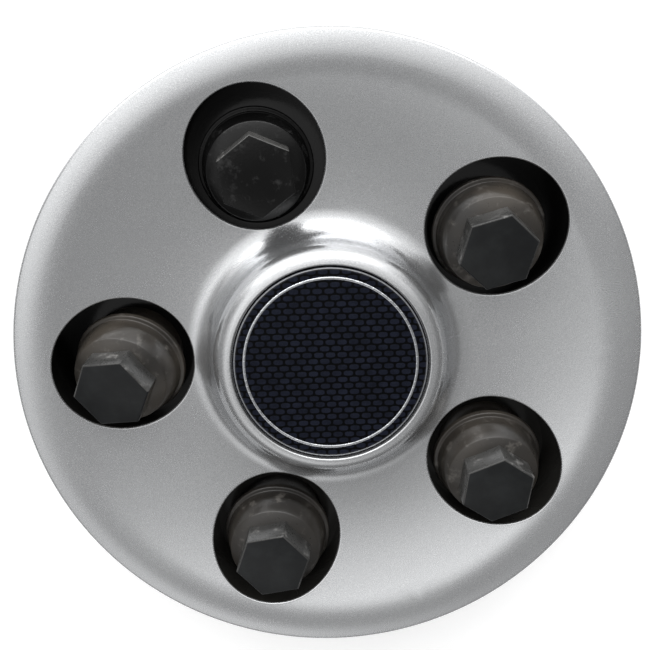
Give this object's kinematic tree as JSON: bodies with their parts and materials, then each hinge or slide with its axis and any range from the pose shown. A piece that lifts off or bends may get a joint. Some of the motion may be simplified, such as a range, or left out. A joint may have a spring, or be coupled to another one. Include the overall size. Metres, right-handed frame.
{
  "type": "wheel center cap",
  "caption": "Silver plastic wheel center cap with a bowl-shaped face, a round medallion on a raised boss, and loose hexagonal lug covers that hang in deep wells.",
  "frame": {"origin": "Centre of the back edge of the cap, the edge that meets the wheel.", "axes": "+Z runs along the cap's axis, out of its face; +Y points to the top of the cap as pictured; +X to its right."},
  "size_m": [0.1724, 0.1724, 0.0381],
  "materials": {
    "silver_paint": "silver metallic flake paint over black plastic on the face; bare black plastic in the wells and behind",
    "medallion_face": "black woven-look face with a thin bright ring",
    "black_plastic": "moulded black, satin, scuffed on the hexagon"
  },
  "bodies": {
    "cap": {"cap_body": "silver_paint", "medallion": "medallion_face"},
    "lug_cover_1": {"lug_cover_1": "black_plastic"},
    "lug_cover_2": {"lug_cover_2": "black_plastic"},
    "lug_cover_3": {"lug_cover_3": "black_plastic"},
    "lug_cover_4": {"lug_cover_4": "black_plastic"},
    "lug_cover_5": {"lug_cover_5": "black_plastic"}
  },
  "joints": [
    {"name": "lug_cover_1_turn", "type": "hinge", "parent": "cap", "child": "lug_cover_1", "pos_m": [-0.02076, 0.05178, 0.0199], "axis": [0.0677, -0.1966, 0.9781], "continuous": true},
    {"name": "lug_cover_2_turn", "type": "hinge", "parent": "cap", "child": "lug_cover_2", "pos_m": [0.04454, 0.03429, 0.0199], "axis": [-0.051, -0.2623, 0.9636], "continuous": true},
    {"name": "lug_cover_3_turn", "type": "hinge", "parent": "cap", "child": "lug_cover_3", "pos_m": [0.04807, -0.03322, 0.0199], "axis": [-0.0264, -0.2148, 0.9763], "continuous": true},
    {"name": "lug_cover_4_turn", "type": "hinge", "parent": "cap", "child": "lug_cover_4", "pos_m": [-0.01503, -0.05744, 0.0199], "axis": [-0.0407, -0.1331, 0.9903], "continuous": true},
    {"name": "lug_cover_5_turn", "type": "hinge", "parent": "cap", "child": "lug_cover_5", "pos_m": [-0.05757, -0.00491, 0.0199], "axis": [-0.1033, -0.2556, 0.9613], "continuous": true}
  ]
}
